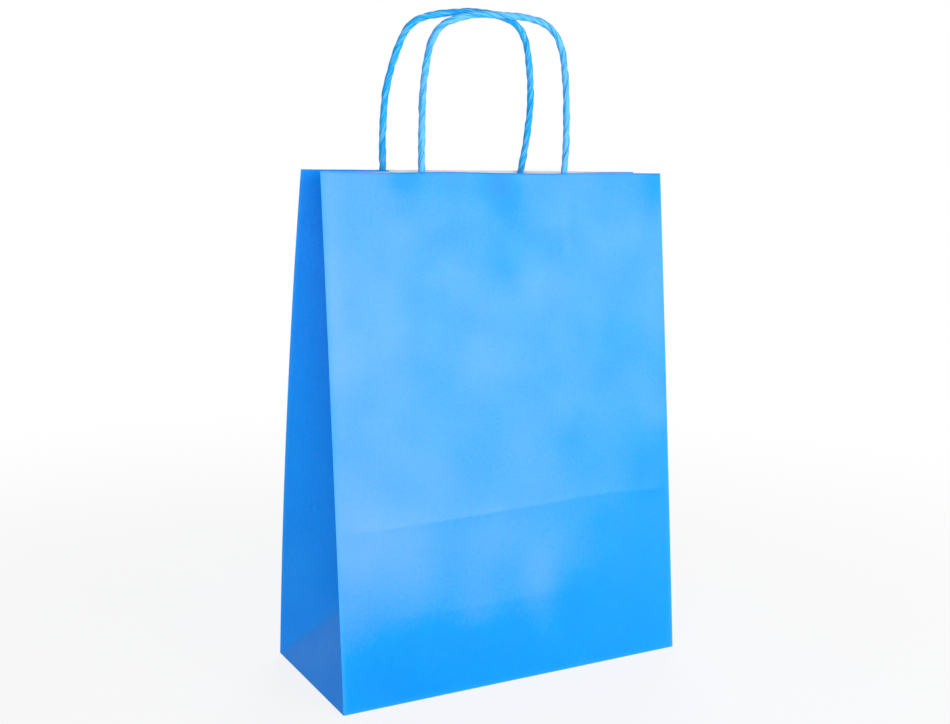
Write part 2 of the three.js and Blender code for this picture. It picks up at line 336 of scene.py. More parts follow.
# Painted sheen and painted shade on the front panel, as rows for hills(). The ground and the
# positive spots paint the lamp's soft reflection into the colour as painted sheen; the negative
# spots paint the sheet deeper where that sheen falls away, as painted shade. The cloud is a
# random tone.
paintedSheenMap = {
    "ground": 0.36,
    "spots": (
        (-0.096, 0.096, 0.056, 0.036, 0.60),
        (-0.105, 0.220, 0.030, 0.100, 0.20),
        (0.095, 0.080, 0.048, 0.075, -0.50),
        (0.060, 0.020, 0.060, 0.040, -0.30),
        (-0.064, 0.012, 0.100, 0.028, -0.80),
        (-0.002, 0.284, 0.010, 0.009, -1.00),
        (0.000, 0.250, 0.013, 0.036, -0.38),
        (0.108, 0.284, 0.014, 0.016, -0.45),
        (0.016, 0.060, 0.014, 0.050, 0.25),
        (-0.106, 0.235, 0.007, 0.070, 0.30),
        (-0.062, 0.286, 0.009, 0.006, -0.60),
    ),
    "cloud": 0.28,
    "cloudScale": 34.0,
    "cloudAt": 0.7,
}


# The painted sheen at a place on the front panel: above zero paler (painted sheen), below zero
# deeper (painted shade)
def paintedSheenAt(x, s):
    cloudy = cloud(x, s, paintedSheenMap["cloudAt"], paintedSheenMap["cloudScale"])
    total = hills(x, s, paintedSheenMap["spots"], paintedSheenMap["ground"] + paintedSheenMap["cloud"] * cloudy)
    return min(max(total, -1), 1)


def wallLevels():
    levels = list(np.arange(0, length, walls["levelStep"]))
    margin = walls["closeMargin"]
    for low, high in walls["closeBands"]:
        levels = [s for s in levels if not low - margin < s < high + margin]
        levels += list(np.arange(low, high, walls["closeStep"]))
    return np.array(sorted(levels + [walls["lowLevel"], length - walls["topLevel"], length]))


# The long seam at the right of the back panel, where one edge of the sheet laps over the other
seam = {
    "lap": 0.017,
    "edge": 0.00006,
    "beside": 0.003,
    "clear": 0.004,
    "rise": 0.0008,
}
# How far the rim hangs under its straight line, by place across, for the front and the back
rim = {
    "front": (
        (-0.110, 0.0006), (-0.084, 0.0012), (-0.056, 0.0012), (-0.044, 0.0006), (-0.022, 0.0006),
        (-0.004, 0.0010), (0.034, 0.0011), (0.050, 0.0005), (0.110, 0.0003),
    ),
    "back": ((-0.110, 0.0006), (-0.060, 0.0004), (0.020, 0.0002), (0.110, 0.0003)),
    "from": 0.235,
    "rounding": (-0.009, -0.0045, 0, 0.0045, 0.009),
}


def rimDrop(x, s, side):
    points = rim["front"] if side < 0 else rim["back"]
    around = [alongLine(points, x + reach) for reach in rim["rounding"]]
    return sum(around) / len(around) * float(smooth(s, rim["from"], length))


# Where a face has its points: evenly, and closely beside the edge of the seam
def faceShares(face):
    steps = walls["faceSteps"][face]
    shares = [k / steps for k in range(1, steps)]
    if face == backPanel:
        edge = seam["lap"] / bag["width"]
        gap = seam["edge"] / bag["width"]
        beside = seam["beside"]
        shares = [t for t in shares if abs(t - edge) > seam["clear"]]
        shares += [edge - beside, edge - gap, edge + gap, edge + beside]
    return sorted(shares)


# Points of the section at every level: an arc round each corner, then the face after it. The last
# array is the room inside the fold at a bag's corner, where the sheet lies on itself.
def wallGrid(levels):
    corners = bagCorners(levels)
    count = corners.shape[1]
    columns, faceOf, shareOf, rooms = [], [], [], []
    soft = walls["creaseReach"] + walls["creaseGrowth"] * np.clip(levels / halfDepth, 0, 1)
    foldGap = np.linalg.norm(corners[:, 3] - corners[:, 2], axis=1)
    foldReach = np.minimum(soft, walls["bandShare"] * foldGap)
    edgeReach = np.full(len(levels), walls["edgeReach"])
    for i in range(count):
        here, before, after = corners[:, i], corners[:, i - 1], corners[:, (i + 1) % count]
        inFold, nextFold = i in foldCorners, (i + 1) % count in foldCorners
        toBefore = np.linalg.norm(before - here, axis=1)
        toAfter = np.linalg.norm(after - here, axis=1)
        back = (before - here) / toBefore[:, None]
        ahead = (after - here) / toAfter[:, None]
        reach = foldReach if inFold else edgeReach
        start = here + back * np.minimum(reach, walls["faceShare"] * toBefore)[:, None]
        end = here + ahead * np.minimum(reach, walls["faceShare"] * toAfter)[:, None]
        opening = np.linalg.norm(np.cross(back, ahead), axis=1)
        for k in range(walls["cornerSteps"] + 1):
            t = k / walls["cornerSteps"]
            columns.append(start * (1 - t) ** 2 + here * 2 * t * (1 - t) + end * t * t)
            faceOf.append(-1)
            shareOf.append(foldWearHighlight["gussets"] if inFold else foldWearHighlight["panels"])
            rooms.append(np.full(len(levels), 1.0 if inFold else 0.0))
        nextReach = foldReach if nextFold else edgeReach
        finish = after - ahead * np.minimum(nextReach, walls["faceShare"] * toAfter)[:, None]
        beyond = corners[:, (i + 2) % count] - after
        beyond /= np.linalg.norm(beyond, axis=1)[:, None]
        nextOpening = np.linalg.norm(np.cross(beyond, ahead), axis=1)
        for t in faceShares(i):
            point = end + (finish - end) * t
            room = np.ones(len(levels))
            if not inFold:
                room = np.minimum(room, opening * np.linalg.norm(point - here, axis=1))
            if not nextFold:
                room = np.minimum(room, nextOpening * np.linalg.norm(point - after, axis=1))
            columns.append(point)
            faceOf.append(i)
            shareOf.append(t)
            rooms.append(room)
    return np.stack(columns, axis=1), np.array(faceOf), np.array(shareOf), np.stack(rooms, axis=1)


def gridNormals(grid, wrap):
    if wrap:
        across = np.roll(grid, -1, axis=1) - np.roll(grid, 1, axis=1)
    else:
        across = np.gradient(grid, axis=1)
    along = np.gradient(grid, axis=0)
    normals = np.cross(across, along)
    return normals / np.maximum(np.linalg.norm(normals, axis=2), 1e-12)[:, :, None]


# Paper is never quite flat: slow waves over each face, and the pressed lines on the panels
def wallRelief(grid, faceOf, shareOf, levels):
    relief = np.zeros(grid.shape[:2])
    wearHighlight = np.zeros(grid.shape[:2])
    paintedSheen = np.zeros(grid.shape[:2])
    for j, face in enumerate(faceOf):
        t = shareOf[j]
        # The front panel and its corners take the painted sheen and painted shade
        if face == frontPanel or (face < 0 and grid[0, j, 1] < 0):
            paintedSheen[:, j] = [paintedSheenAt(grid[i, j, 0], s) for i, s in enumerate(levels)]
        # Corner arcs take the fold wear and painted highlight in full
        if face < 0:
            wearHighlight[:, j] = t
            continue
        ends = [k for k in range(len(faceOf)) if faceOf[k] == face]
        span = np.linalg.norm(grid[:, ends[-1]] - grid[:, ends[0]], axis=1)
        toEdge = np.minimum(t, 1 - t) * span
        keep = smooth(toEdge, 0, walls["edgeHold"])
        amount = foldWearHighlight["panels"] if face in (frontPanel, backPanel) else foldWearHighlight["gussets"]
        wearHighlight[:, j] = np.exp(-toEdge / foldWearHighlight["reach"]) * amount
        for i, s in enumerate(levels):
            x, y, z = grid[i, j]
            ripple = cloud(y, z, x, walls["rippleScale"] * walls["waveScale"])
            wave = cloud(x, y, z, walls["waveScale"]) + walls["rippleShare"] * ripple
            value = walls["waviness"] * wave * keep[i] * float(smooth(s, 0, walls["baseHold"]))
            if face == frontPanel:
                value += creaseRelief(x, s) + hills(x, s, frontDents) * keep[i]
                value += stripRelief(x, s, cord["frontShape"])
            if face == backPanel:
                pressed = crease["atBack"] * creaseRelief(-x, s)
                value += pressed + hills(x, s, backDents) * keep[i]
                value += stripRelief(x, s, cord["backShape"])
                lapped = x > halfWidth - seam["lap"]
                value += paper * lapped * float(smooth(toEdge[i], 0, seam["rise"]))
            relief[i, j] = value
    return relief, wearHighlight, paintedSheen


# Below the walls the sheet turns under at the base's edge
def lipRings(firstRing):
    rings = []
    for inset, height in walls["lipTurns"]:
        ring = firstRing.copy()
        for axis, reach in ((0, halfWidth), (1, halfDepth)):
            away = np.abs(ring[:, axis])
            ring[:, axis] = np.sign(ring[:, axis]) * (away - inset * (away / reach))
        ring[:, 2] = height
        rings.append(ring)
    return rings[::-1]


# A closed sheet of paper from its outer and inner grids. Outer faces take the first material,
# the inner face and the cut edges the second. So does cutColumn, the edge that laps over.
def sheetMesh(name, outer, inner, wrap, materials, marks=None, cutColumn=-1):
    rows, cols = outer.shape[:2]
    points = np.concatenate([outer.reshape(-1, 3), inner.reshape(-1, 3)])
    shift = rows * cols
    faces, indices = [], []

    def add(a, b, c, d, index):
        faces.append((a, b, c, d))
        indices.append(index)

    lastCol = cols if wrap else cols - 1
    for i in range(rows - 1):
        for j in range(lastCol):
            k = (j + 1) % cols
            a, b, c, d = i * cols + j, i * cols + k, (i + 1) * cols + k, (i + 1) * cols + j
            add(a, b, c, d, 1 if j == cutColumn else 0)
            add(shift + d, shift + c, shift + b, shift + a, 1)
    top = (rows - 1) * cols
    for j in range(lastCol):
        k = (j + 1) % cols
        add(top + j, top + k, shift + top + k, shift + top + j, 1)
        add(k, j, shift + j, shift + k, 1)
    if not wrap:
        for i in range(rows - 1):
            a, b = i * cols, (i + 1) * cols
            add(a, b, shift + b, shift + a, 1)
            a, b = a + cols - 1, b + cols - 1
            add(b, a, shift + a, shift + b, 1)
    mesh = bpy.data.meshes.new(name)
    mesh.from_pydata(points.tolist(), [], faces)
    for material in materials:
        mesh.materials.append(material)
    mesh.polygons.foreach_set("material_index", indices)
    mesh.polygons.foreach_set("use_smooth", [True] * len(faces))
    for key, values in (marks or {}).items():
        attribute = mesh.attributes.new(key, "FLOAT", "POINT")
        attribute.data.foreach_set("value", np.tile(values.reshape(-1), 2))
    mesh.update()
    piece = bpy.data.objects.new(name, mesh)
    stage.collection.objects.link(piece)
    return piece


# Nodes of a tree. An input named i with a number is the socket at that place.
class Nodes:
    def __init__(self, tree):
        self.tree = tree

    def add(self, kind, settings=None, **inputs):
        made = self.tree.nodes.new(kind)
        for key, value in (settings or {}).items():
            setattr(made, key, value)
        for key, value in inputs.items():
            self.put(made, key, value)
        return made

    def put(self, made, key, value):
        numbered = key[0] == "i" and key[1:].isdigit()
        socket = made.inputs[int(key[1:]) if numbered else key]
        if isinstance(value, bpy.types.NodeSocket):
            self.tree.links.new(value, socket)
        elif isinstance(value, bpy.types.Node):
            self.tree.links.new(value.outputs[0], socket)
        else:
            socket.default_value = value

    def maths(self, operation, a, b=0.0, c=0.0):
        return self.add("ShaderNodeMath", {"operation": operation}, i0=a, i1=b, i2=c).outputs[0]

    def noiseAt(self, place, scale, detail):
        return self.add("ShaderNodeTexNoise", Vector=place, Scale=scale, Detail=detail).outputs[0]

    def mark(self, name):
        return self.add("ShaderNodeAttribute", {"attribute_name": name}).outputs["Fac"]

    def mix(self, share, first, second):
        made = self.add("ShaderNodeMix", {"data_type": "RGBA"}, i0=share, i6=first, i7=second)
        return made.outputs[2]

    def remap(self, value, given, wanted=(0.0, 1.0), curve="LINEAR"):
        made = self.add("ShaderNodeMapRange", {"interpolation_type": curve}, Value=value)
        for key, limit in zip(("From Min", "From Max", "To Min", "To Max"), (*given, *wanted)):
            self.put(made, key, limit)
        return made.outputs[0]


def startMaterial(name, roughness):
    material = bpy.data.materials.new(name)
    material.use_nodes = True
    nodes = Nodes(material.node_tree)
    shader = material.node_tree.nodes["Principled BSDF"]
    shader.inputs["Roughness"].default_value = roughness
    return material, nodes, shader


# Paper, glazed on its blue side: a cloudy sheet, short fibres, a fine tooth, a painted sheen and
# painted shade, and folds made lighter by wear and by a painted highlight
paperLook = {
    "blue": {
        "main": (0.000, 0.298, 0.970, 1),
        "cloud": (0.000, 0.280, 0.950, 1),
        # Colours of the painted sheen and of the painted shade
        "paintedSheen": (0.110, 0.365, 0.990, 1),
        "paintedShade": (0.000, 0.240, 0.930, 1),
        # Fibre flecks, and the folds' wear with their painted highlight, take this lighter colour
        "fleckWearHighlight": (0.050, 0.430, 1.000, 1),
    },
    "white": {
        "main": (0.88, 0.88, 0.87, 1),
        "cloud": (0.83, 0.83, 0.82, 1),
        # Inside, the painted sheen and painted shade colours barely differ from the paper
        "paintedSheen": (0.88, 0.88, 0.87, 1),
        "paintedShade": (0.84, 0.84, 0.83, 1),
        "fleckWearHighlight": (0.90, 0.90, 0.89, 1),
    },
    "cloudScale": 46.0,
    "cloudRange": (0.35, 0.70),
    "speckleScale": 640.0,
    "speckleRange": (0.3, 0.7),
    "speckle": 0.12,
    "fibreScale": 900.0,
    "fibreStretch": (1, 1, 0.35),
    "fibreRange": (0.42, 0.80),
    "fibreTone": 0.10,
    "toothScale": 2600.0,
    "toothDepth": 0.00003,
    "toothShare": 0.5,
    "wearHighlightShare": 0.35,
    "roughness": (0.27, 0.37),  # it changes slowly over the glazed side of the sheet
    "gloss": 0.15,
    "whiteRoughness": (0.74, 0.86),
    "foldRoughness": 0.30,  # added along the folds, where the wear and the painted highlight lie
}


def paperMaterial(name, colours, roughness):
    material, nodes, shader = startMaterial(name, roughness[0])
    place = nodes.add("ShaderNodeTexCoord").outputs["Object"]
    clouds = nodes.noiseAt(place, paperLook["cloudScale"], detail=4.0)
    clouds = nodes.remap(clouds, paperLook["cloudRange"])
    stretched = nodes.add("ShaderNodeMapping", Vector=place, Scale=paperLook["fibreStretch"])
    fibres = nodes.noiseAt(stretched, paperLook["fibreScale"], detail=3.0)
    tooth = nodes.noiseAt(place, paperLook["toothScale"], detail=2.0)
    speckle = nodes.noiseAt(place, paperLook["speckleScale"], detail=3.0)
    most = paperLook["speckle"]
    speckle = nodes.remap(speckle, paperLook["speckleRange"], (-most, most))

    # Painted sheen where the mark is above zero, painted shade where it is below, with a random
    # speckle
    sheenShadeSpeckle = nodes.maths("ADD", nodes.mark("paintedSheen"), speckle)
    colour = nodes.mix(clouds, colours["main"], colours["cloud"])
    colour = nodes.mix(sheenShadeSpeckle, colour, colours["paintedSheen"])
    colour = nodes.mix(nodes.maths("MULTIPLY", sheenShadeSpeckle, -1.0), colour, colours["paintedShade"])
    fleck = nodes.remap(fibres, paperLook["fibreRange"], (0.0, paperLook["fibreTone"]))
    colour = nodes.mix(fleck, colour, colours["fleckWearHighlight"])
    # Folds lighter from rubbed wear and from a painted highlight along the folded edges
    wearHighlightMark = nodes.mark("wearHighlight")
    amount = nodes.maths("MULTIPLY", wearHighlightMark, paperLook["wearHighlightShare"])
    nodes.put(shader, "Base Color", nodes.mix(amount, colour, colours["fleckWearHighlight"]))

    dull = nodes.remap(clouds, (0.0, 1.0), roughness)
    dull = nodes.maths("MULTIPLY_ADD", wearHighlightMark, paperLook["foldRoughness"], dull)
    nodes.put(shader, "Roughness", dull)
    shader.inputs["Specular IOR Level"].default_value = paperLook["gloss"]
    bump = nodes.add("ShaderNodeBump", Height=nodes.maths("ADD", fibres, tooth),
                     Distance=paperLook["toothDepth"], Strength=paperLook["toothShare"])
    nodes.put(shader, "Normal", bump)
    return material


bluePaper = paperMaterial("bluePaper", paperLook["blue"], paperLook["roughness"])
whitePaper = paperMaterial("whitePaper", paperLook["white"], paperLook["whiteRoughness"])
print("paper mixed")


def makeWalls():
    levels = wallLevels()
    grid, faceOf, shareOf, rooms = wallGrid(levels)
    relief, wearHighlight, paintedSheen = wallRelief(grid, faceOf, shareOf, levels)
    grid = grid + gridNormals(grid, True) * relief[:, :, None]
    for i, s in enumerate(levels):
        if s > rim["from"]:
            grid[i, :, 2] -= [rimDrop(x, s, y) for x, y, _ in grid[i]]
    lip = np.stack(lipRings(grid[0]))
    grid = np.concatenate([lip, grid])
    # The lip and the base edge take the wear and painted highlight too
    wearHighlight = np.concatenate([np.full(lip.shape[:2], foldWearHighlight["lip"]), wearHighlight])
    fromBase = np.abs(grid[:, :, 2] - panelStart)
    wearHighlight = np.maximum(wearHighlight, np.exp(-fromBase / foldWearHighlight["baseReach"]) * foldWearHighlight["base"])
    paintedSheen = np.concatenate([np.zeros(lip.shape[:2]), paintedSheen])
    rooms = np.concatenate([np.repeat(rooms[:1], len(lip), axis=0), rooms])
    thick = np.clip(walls["roomShare"] * rooms, walls["thinnest"], paper)
    inner = grid - gridNormals(grid, True) * thick[:, :, None]
    lapShare = seam["lap"] / bag["width"]
    onLap = [j for j, face in enumerate(faceOf) if face == backPanel and shareOf[j] < lapShare]
    # The shader reads the painted sheen and shade, and the fold wear with its painted highlight
    marks = {"wearHighlight": wearHighlight, "paintedSheen": paintedSheen}
    return sheetMesh("bag_walls", grid, inner, True, (bluePaper, whitePaper), marks, onLap[-1])


bagWalls = makeWalls()
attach(bagWalls, "root")
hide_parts("bag_body")
print("walls folded")

base = {
    "lap": 0.024,
    "steps": (90, 26),
    "inset": 0.0003,
    "slack": 0.00005,
    "slackScale": 40,
    "lift": 0.00002,
}


# One flap of the block bottom: from its fold at the bag's edge to its cut edge
def baseFlap(name, side, low, high):
    across, along = base["steps"]
    reach = halfDepth + base["lap"] / 2
    bottom = np.zeros((along + 1, across + 1, 3))
    for i in range(along + 1):
        run = base["inset"] + (reach - base["inset"]) * i / along
        for j in range(across + 1):
            x = (2 * j / across - 1) * (halfWidth - run)
            y = side * (halfDepth - run)
            sag = base["slack"] * (0.5 + cloud(x, y, 0.2 * side, base["slackScale"]))
            bottom[i, j] = (x, y, low + base["lift"] + max(sag, 0) * math.sin(math.pi * i / along))
    top = bottom.copy()
    top[:, :, 2] += high - low
    if side < 0:
        bottom, top = bottom[:, ::-1], top[:, ::-1]
    return sheetMesh(name, bottom, top, False, (bluePaper, whitePaper))


def baseFloor():
    across, along = base["steps"]
    edge = base["inset"]
    xs = np.linspace(edge - halfWidth, halfWidth - edge, across + 1)
    ys = np.linspace(halfDepth - edge, edge - halfDepth, along + 1)
    bottom = np.zeros((along + 1, across + 1, 3))
    bottom[:, :, 0], bottom[:, :, 1] = np.meshgrid(xs, ys)
    bottom[:, :, 2] = panelStart
    top = bottom.copy()
    top[:, :, 2] = panelStart + paper
    return sheetMesh("base_floor", bottom, top, False, (bluePaper, whitePaper))


backFlap = baseFlap("base_back_flap", 1, 0, paper)
frontFlap = baseFlap("base_front_flap", -1, paper, 2 * paper)
for flap in (backFlap, frontFlap, baseFloor()):
    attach(flap, "root")
    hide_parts("bag_body")
print("block bottom closed")


# A panel's inner face near the rim, as a plane
def panelPlane(side):
    face = frontFace if side < 0 else backFace
    rimY = float(face(length))
    lowY = float(face(length - strip["height"]))
    slope = math.atan2(abs(lowY - rimY), strip["height"] * math.cos(lean))
    sag = bag["frontBow"] if side < 0 else bag["backBow"]
    hollow = sag * (strip["height"] / length) ** 2
    return {"side": side, "rimY": rimY, "slope": slope, "start": paper / math.cos(slope) + hollow}


def onPanel(plane, x, down, inward):
    slope = plane["slope"]
    y = abs(plane["rimY"]) - plane["start"] + down * math.sin(slope) - inward * math.cos(slope)
    z = rimHeight - down * math.cos(slope) - inward * math.sin(slope)
    return Vector((x, plane["side"] * y, z))


cordRadius = cord["diameter"] / 2
coverIn = strip["seat"] + paper + strip["seat"]
cordIn = coverIn + cordRadius + cord["lobeDepth"] / 2
coverRise = cord["diameter"] + cord["lobeDepth"] + 2 * strip["seat"]


def handlePoints(plane, shape):
    rise = max(up for _, up in shape)
    topY = cordRadius + cord["lobeDepth"] / 2 + cord["handleGap"] / 2
    foot = onPanel(plane, 0, 0, cordIn)

    def leg(x):
        return [onPanel(plane, x, strip["glued"] * share, cordIn) for share in (1, 0.5)]

    air = []
    for x, up in shape:
        y = abs(foot.y) + (topY - abs(foot.y)) * up / rise
        air.append(Vector((x, plane["side"] * y, foot.z + up)))
    return leg(shape[0][0]) + air + leg(shape[-1][0])[::-1]


# A smooth line through the points, evenly parted
def throughPoints(points, step):
    ends = [2 * points[0] - points[1]] + points + [2 * points[-1] - points[-2]]
    fine = []
    for k in range(1, len(ends) - 2):
        a, b, c, d = ends[k - 1:k + 3]
        ab, bc, cd = (max(v.length, 1e-6) ** 0.5 for v in (b - a, c - b, d - c))
        leave = ((b - a) / ab - (c - a) / (ab + bc) + (c - b) / bc) * bc
        arrive = ((c - b) / bc - (d - b) / (bc + cd) + (d - c) / cd) * bc
        for i in range(cord["fineSteps"]):
            t = i / cord["fineSteps"]
            fine.append(b * (2 * t ** 3 - 3 * t ** 2 + 1) + c * (3 * t ** 2 - 2 * t ** 3)
                        + leave * (t ** 3 - 2 * t ** 2 + t) + arrive * (t ** 3 - t ** 2))
    fine.append(points[-1])
    line = np.array(fine)
    gone = np.concatenate([[0], np.cumsum(np.linalg.norm(np.diff(line, axis=0), axis=1))])
    count = int(gone[-1] / step) + 1
    even = np.linspace(0, gone[-1], count)
    return np.stack([np.interp(even, gone, line[:, k]) for k in range(3)], axis=1), float(gone[-1])


# The twisted cord as a tree: a strip wound on itself, so its section is a spiral with flattened
# facets and a step at the seam, and it turns as it goes along its line
def twistTree():
    tree = bpy.data.node_groups.new("twistedCord", "GeometryNodeTree")
    tree.interface.new_socket("Line", in_out="INPUT", socket_type="NodeSocketGeometry")
    for name in ("Radius", "Pitch", "Oval Depth", "Facets", "Facet Depth", "Seam Depth",
                 "Seam Width", "Fold Turn", "Wander", "Wander Scale", "Start Turn"):
        tree.interface.new_socket(name, in_out="INPUT", socket_type="NodeSocketFloat")
    tree.interface.new_socket("Sides", in_out="INPUT", socket_type="NodeSocketInt")
    tree.interface.new_socket("Paper", in_out="INPUT", socket_type="NodeSocketMaterial")
    tree.interface.new_socket("Cord", in_out="OUTPUT", socket_type="NodeSocketGeometry")
    n = Nodes(tree)
    given = n.add("NodeGroupInput").outputs

    maths = n.maths

    def line(away, strength):
        return n.remap(away, (0.0, given["Seam Width"]), (strength, 0.0), "SMOOTHSTEP")

    def keep(geometry, name, value):
        return n.add("GeometryNodeStoreNamedAttribute", {"data_type": "FLOAT", "domain": "POINT"},
                     Geometry=geometry, Name=name, Value=value)

    run = n.add("GeometryNodeSplineParameter").outputs["Length"]
    turn = maths("MULTIPLY", maths("DIVIDE", run, given["Pitch"]), 2 * math.pi)
    uneven = n.add("ShaderNodeTexNoise", {"noise_dimensions": "1D"}, Scale=1.0, Detail=1.0,
                   W=maths("MULTIPLY_ADD", run, given["Wander Scale"], given["Start Turn"]))
    turn = maths("MULTIPLY_ADD", uneven.outputs[0], given["Wander"], turn)
    turn = maths("ADD", turn, given["Start Turn"])
    tilted = n.add("GeometryNodeSetCurveTilt", Curve=given["Line"], Tilt=turn)
    marked = keep(tilted, "along", run)

    circle = n.add("GeometryNodeCurvePrimitiveCircle", Resolution=given["Sides"],
                   Radius=given["Radius"])
    angle = maths("MULTIPLY", n.add("GeometryNodeSplineParameter").outputs["Factor"], 2 * math.pi)
    oval = maths("COSINE", maths("MULTIPLY_ADD", angle, 2.0, cord["ovalTurn"]))
    lift = maths("MULTIPLY", oval, maths("MULTIPLY", given["Oval Depth"], 0.5))
    halfTurns = maths("MULTIPLY", angle, maths("MULTIPLY", given["Facets"], 0.5))
    flat = maths("SUBTRACT", maths("ABSOLUTE", maths("SINE", halfTurns)), cord["facetMean"])
    lift = maths("SUBTRACT", lift, maths("MULTIPLY", flat, given["Facet Depth"]))
    spiral = maths("SUBTRACT", maths("DIVIDE", angle, 2 * math.pi), 0.5)
    lift = maths("MULTIPLY_ADD", spiral, given["Seam Depth"], lift)
    spot = n.add("GeometryNodeInputPosition")
    outward = n.add("ShaderNodeVectorMath", {"operation": "NORMALIZE"}, i0=spot)
    offset = n.add("ShaderNodeVectorMath", {"operation": "SCALE"}, i0=outward, Scale=lift)
    section = n.add("GeometryNodeSetPosition", Geometry=circle.outputs[0], Offset=offset.outputs[0])
    toSeam = maths("SUBTRACT", math.pi, maths("ABSOLUTE", maths("SUBTRACT", angle, math.pi)))
    toFold = maths("ABSOLUTE", maths("SUBTRACT", angle, given["Fold Turn"]))
    # The seam and fold lines, painted darker in the cord's material as painted shade in their
    # groove
    lines = maths("MAXIMUM", line(toSeam, 1.0), line(toFold, cord["foldLine"]))
    section = keep(section, "aroundSin", maths("SINE", angle))
    section = keep(section, "aroundCos", maths("COSINE", angle))
    section = keep(section, "seam", lines)

    swept = n.add("GeometryNodeCurveToMesh", Curve=marked)
    n.put(swept, "Profile Curve", section)
    swept.inputs["Fill Caps"].default_value = True
    smoothed = n.add("GeometryNodeSetShadeSmooth", Geometry=swept)
    real = n.add("GeometryNodeRealizeInstances", Geometry=smoothed)
    coloured = n.add("GeometryNodeSetMaterial", Geometry=real, Material=given["Paper"])
    n.add("NodeGroupOutput", i0=coloured)
    return tree


cordLook = {
    # light: the painted sheen on the lit facets of the twisted cord
    "light": (0.130, 0.500, 0.960, 1),
    "main": (0.000, 0.360, 0.870, 1),
    # the painted shade in the groove of the seam and the fold
    "seamShade": (0.000, 0.180, 0.470, 1),
    "roughness": 0.5,
    "gloss": 0.14,
    "streakScale": 2.6,
    "streakRun": 48.0,
    "streakWidth": 0.12,
    "frontSheenFrom": 0.38,  # painted sheen streaks from here up
    # higher for the back cord, so fewer sheen streaks: painted shade
    "backSheenFrom": 0.50,
    "seamShare": 0.9,
    "streakHeight": 3.0,
    "bumpDepth": 0.00005,
    "bumpShare": 0.6,
}


def cordMaterial(name, sheenFrom):
    material, nodes, shader = startMaterial(name, cordLook["roughness"])
    shader.inputs["Specular IOR Level"].default_value = cordLook["gloss"]
    run = nodes.maths("MULTIPLY", nodes.mark("along"), cordLook["streakRun"])
    sine, cosine = nodes.mark("aroundSin"), nodes.mark("aroundCos")
    wound = nodes.add("ShaderNodeCombineXYZ", X=sine, Y=cosine, Z=run)
    streaks = nodes.noiseAt(wound, cordLook["streakScale"], detail=5.0)
    place = nodes.add("ShaderNodeTexCoord").outputs["Object"]
    tooth = nodes.noiseAt(place, paperLook["toothScale"], detail=2.0)
    # Light streaks painted as sheen on the lit facets
    light = nodes.remap(streaks, (sheenFrom, sheenFrom + cordLook["streakWidth"]))
    colour = nodes.mix(light, cordLook["main"], cordLook["light"])
    # Painted shade along the seam and the fold line
    depth = nodes.maths("MULTIPLY", nodes.mark("seam"), cordLook["seamShare"])
    nodes.put(shader, "Base Color", nodes.mix(depth, colour, cordLook["seamShade"]))
    height = nodes.maths("MULTIPLY_ADD", streaks, cordLook["streakHeight"], tooth)
    bump = nodes.add("ShaderNodeBump", Height=height, Distance=cordLook["bumpDepth"],
                     Strength=cordLook["bumpShare"])
    nodes.put(shader, "Normal", bump)
    return material


# The back cord is a shaded copy of the same paper: painted shade
frontCord = cordMaterial("frontCord", cordLook["frontSheenFrom"])
backCord = cordMaterial("backCord", cordLook["backSheenFrom"])
cordTree = twistTree()


def makeHandle(name, side, shape, startTurn, finish):
    plane = panelPlane(side)
    line, lineLength = throughPoints(handlePoints(plane, shape), cord["step"])
    curve = bpy.data.curves.new(name + "_line", "CURVE")
    curve.dimensions = "3D"
    spline = curve.splines.new("POLY")
    spline.points.add(len(line) - 1)
    for point, place in zip(spline.points, line):
        point.co = (*place, 1)
    holder = bpy.data.objects.new(name + "_line", curve)
    stage.collection.objects.link(holder)
    modifier = holder.modifiers.new("twist", "NODES")
    modifier.node_group = cordTree
    given = {
        "Radius": cordRadius, "Pitch": cord["pitch"], "Oval Depth": cord["ovalDepth"],
        "Facets": float(cord["facets"]), "Facet Depth": cord["facetDepth"],
        "Seam Depth": cord["seamDepth"], "Seam Width": cord["seamWidth"],
        "Fold Turn": cord["foldTurn"], "Wander": cord["wander"],
        "Wander Scale": cord["wanderScale"], "Start Turn": startTurn, "Sides": cord["sides"],
        "Paper": finish,
    }
    for socket in cordTree.interface.items_tree:
        if socket.in_out == "INPUT" and socket.name in given:
            modifier[socket.identifier] = given[socket.name]
    ready = holder.evaluated_get(bpy.context.evaluated_depsgraph_get())
    mesh = bpy.data.meshes.new_from_object(ready)
    mesh.name = name
    piece = bpy.data.objects.new(name, mesh)
    stage.collection.objects.link(piece)
    holder.modifiers.remove(modifier)
    bpy.data.objects.remove(holder)
    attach(piece, "root")
    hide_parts(name[:-5] + "_handle")
    print(name, "length", round(lineLength, 4), "faces", len(mesh.polygons))


makeHandle("front_cord", -1, cord["frontShape"], cord["frontTurn"], frontCord)
makeHandle("back_cord", 1, cord["backShape"], cord["backTurn"], backCord)
print("handles twisted")


